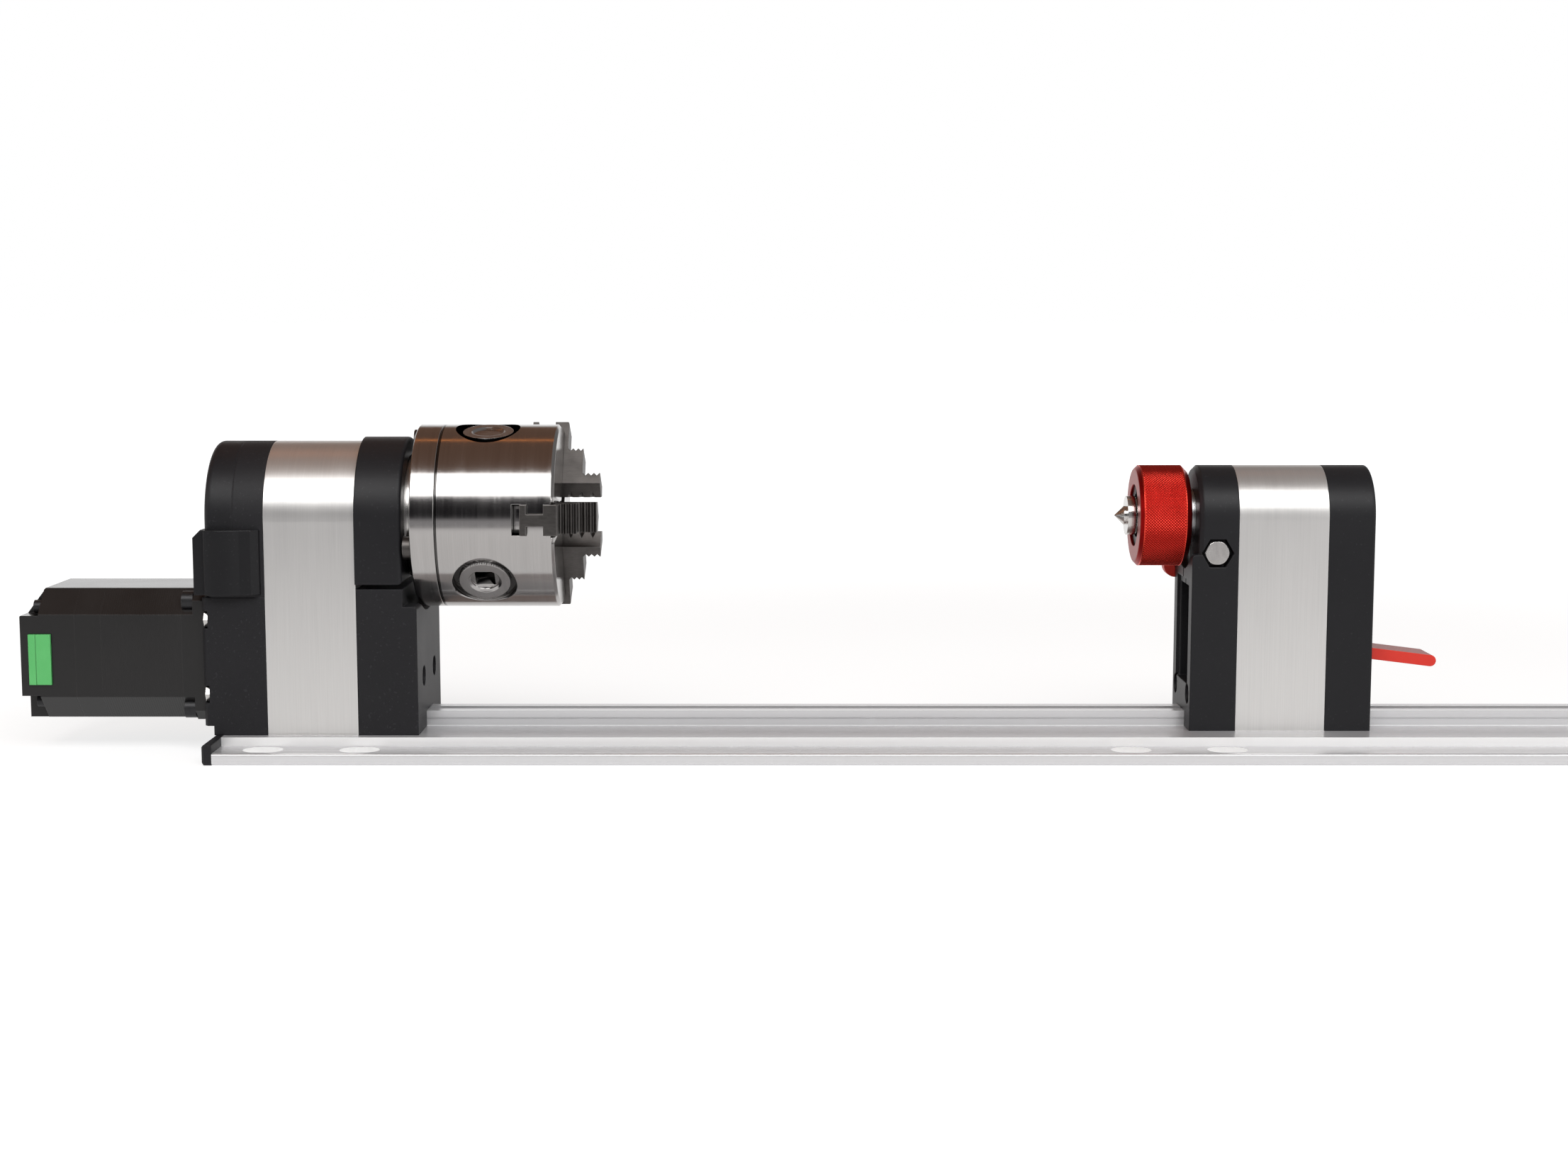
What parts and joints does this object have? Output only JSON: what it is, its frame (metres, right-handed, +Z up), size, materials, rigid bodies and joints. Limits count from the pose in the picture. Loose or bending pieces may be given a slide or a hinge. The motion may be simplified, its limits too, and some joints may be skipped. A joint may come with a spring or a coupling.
{
  "type": "cnc rotary axis",
  "caption": "Rotary fourth axis for a router table: motor-driven headstock with three-jaw chuck, slotted aluminium rail and sliding tailstock with live centre.",
  "frame": {"origin": "on the rail's underside, under the spindle axis and under the rear face of the chuck", "axes": "+X along the spindle from the headstock to the tailstock, +Z up, -Y towards the side with the motor terminals"},
  "size_m": [0.9142, 0.1118, 0.1415],
  "materials": {
    "anodised_rail": "clear anodised extrusion with fine lines along its length",
    "brushed_aluminium": "brushed extrusion, lines along the spindle direction's cross section",
    "machined_aluminium": "turned",
    "black_plastic": "fine-grained black moulded plastic",
    "black_paint": "satin black",
    "black_steel": "black oxide",
    "bright_steel": "bright stainless",
    "bearing_steel": "polished bearing steel",
    "ground_steel": "turned and ground steel with circumferential lines",
    "hardened_steel": "hardened, darkened steel with ground faces",
    "hardened_steel_bright": "polished hardened steel",
    "belt_rubber": "toothed belt rubber",
    "green_plastic": "green terminal plastic",
    "red_anodised": "red anodised, diamond knurled",
    "red_plastic": "smooth red plastic"
  },
  "bodies": {
    "base": {"rail": "anodised_rail", "rail_end_caps": "black_plastic", "headstock_body": "brushed_aluminium", "headstock_rail_screws": "black_steel", "headstock_bearings": "bearing_steel", "bearing_spacer": "bearing_steel", "headstock_front_cover": "black_plastic", "headstock_front_block": "black_plastic", "headstock_tie_screws": "black_steel", "belt_housing": "black_plastic", "belt_cover": "black_plastic", "motor_bracket": "black_plastic", "bracket_nuts": "bright_steel", "side_guard": "black_plastic", "drive_belt": "belt_rubber", "motor_flange": "black_paint", "motor_laminations": "black_paint", "motor_rear_cap": "black_paint", "motor_bearings": "bearing_steel", "motor_screws": "black_steel", "driver_housing": "black_paint", "driver_screws": "black_steel", "terminal_block": "green_plastic"},
    "spindle": {"spindle": "bright_steel", "spindle_pulley": "machined_aluminium", "spindle_lock_nut": "black_steel", "chuck_back_plate": "ground_steel", "chuck_bolts": "bright_steel", "chuck_body": "ground_steel", "scroll_cover": "ground_steel"},
    "motor_rotor": {"motor_rotor": "bright_steel", "motor_pulley": "machined_aluminium"},
    "scroll": {"scroll_plate": "ground_steel"},
    "jaw_1": {"jaw_1": "hardened_steel"},
    "jaw_2": {"jaw_2": "hardened_steel"},
    "jaw_3": {"jaw_3": "hardened_steel"},
    "key_pinion_1": {"key_pinion_1": "ground_steel"},
    "key_pinion_2": {"key_pinion_2": "ground_steel"},
    "key_pinion_3": {"key_pinion_3": "ground_steel"},
    "tailstock": {"tailstock_body": "brushed_aluminium", "tailstock_front_cover": "black_plastic", "tailstock_rear_cover": "black_plastic", "tailstock_tie_screws": "black_steel", "feed_bush": "machined_aluminium", "quill_key": "bright_steel", "lock_bolt": "bright_steel", "clamp_saddle": "black_plastic"},
    "quill": {"quill": "bright_steel", "centre_bearing": "bearing_steel"},
    "knob": {"quill_knob": "red_anodised", "knob_snap_ring": "black_steel"},
    "live_centre": {"live_centre": "hardened_steel_bright"},
    "quill_lock_lever": {"quill_lock_lever": "red_plastic"},
    "t_bolt": {"t_bolt": "black_steel", "clamp_pin": "bright_steel"},
    "clamp_lever": {"clamp_lever": "red_plastic"}
  },
  "joints": [
    {"name": "spindle_spin", "type": "hinge", "parent": "base", "child": "spindle", "pos_m": [0, 0, 0.1013], "axis": [1, 0, 0], "continuous": true},
    {"name": "motor_spin", "type": "hinge", "parent": "base", "child": "motor_rotor", "pos_m": [-0.08, 0, 0.0427], "axis": [1, 0, 0], "continuous": true},
    {"name": "scroll_turn", "type": "hinge", "parent": "spindle", "child": "scroll", "pos_m": [0, 0, 0.1013], "axis": [1, 0, 0], "range_deg": [-450, 675]},
    {"name": "jaw_1_slide", "type": "slide", "parent": "spindle", "child": "jaw_1", "axis": [0, -0.9994, 0.0349], "range_m": [-0.0075, 0.005]},
    {"name": "jaw_2_slide", "type": "slide", "parent": "spindle", "child": "jaw_2", "axis": [0, 0.5299, 0.848], "range_m": [-0.0075, 0.005]},
    {"name": "jaw_3_slide", "type": "slide", "parent": "spindle", "child": "jaw_3", "axis": [0, 0.4695, -0.8829], "range_m": [-0.0075, 0.005]},
    {"name": "key_pinion_1_turn", "type": "hinge", "parent": "spindle", "child": "key_pinion_1", "pos_m": [0.0306, -0.02194, 0.08084], "axis": [0, -0.7314, -0.682], "range_deg": [-1350, 2025]},
    {"name": "key_pinion_2_turn", "type": "hinge", "parent": "spindle", "child": "key_pinion_2", "pos_m": [0.0306, -0.00675, 0.13053], "axis": [0, -0.225, 0.9744], "range_deg": [-1350, 2025]},
    {"name": "key_pinion_3_turn", "type": "hinge", "parent": "spindle", "child": "key_pinion_3", "pos_m": [0.0306, 0.02869, 0.09253], "axis": [0, 0.9563, -0.2924], "range_deg": [-1350, 2025]},
    {"name": "tailstock_slide", "type": "slide", "parent": "base", "child": "tailstock", "axis": [1, 0, 0], "range_m": [-0.195, 0.3]},
    {"name": "quill_feed", "type": "slide", "parent": "tailstock", "child": "quill", "axis": [1, 0, 0], "range_m": [-0.01, 0.002]},
    {"name": "knob_turn", "type": "hinge", "parent": "quill", "child": "knob", "pos_m": [0.325, 0, 0.1013], "axis": [1, 0, 0], "range_deg": [-360, 1800]},
    {"name": "centre_spin", "type": "hinge", "parent": "quill", "child": "live_centre", "pos_m": [0.32, 0, 0.1013], "axis": [1, 0, 0], "continuous": true},
    {"name": "quill_lock_turn", "type": "hinge", "parent": "tailstock", "child": "quill_lock_lever", "pos_m": [0.3475, 0.026, 0.0866], "axis": [0, 1, 0], "range_deg": [0, 90]},
    {"name": "t_bolt_lift", "type": "slide", "parent": "tailstock", "child": "t_bolt", "axis": [0, 0, 1], "range_m": [-0.0004, 0]},
    {"name": "clamp_lever_lift", "type": "hinge", "parent": "t_bolt", "child": "clamp_lever", "pos_m": [0.376, 0, 0.0463], "axis": [0, -1, 0], "range_deg": [0, 45]}
  ],
  "couplings": [
    {"joint": "motor_spin", "follows": "spindle_spin", "ratio": 3},
    {"joint": "jaw_1_slide", "follows": "scroll_turn", "m_per_rad": -0.00063662},
    {"joint": "key_pinion_1_turn", "follows": "scroll_turn", "ratio": 3},
    {"joint": "jaw_2_slide", "follows": "scroll_turn", "m_per_rad": -0.00063662},
    {"joint": "key_pinion_2_turn", "follows": "scroll_turn", "ratio": 3},
    {"joint": "jaw_3_slide", "follows": "scroll_turn", "m_per_rad": -0.00063662},
    {"joint": "key_pinion_3_turn", "follows": "scroll_turn", "ratio": 3},
    {"joint": "quill_feed", "follows": "knob_turn", "m_per_rad": -0.00031831},
    {"joint": "t_bolt_lift", "follows": "clamp_lever_lift", "m_per_rad": -0.0005093}
  ]
}
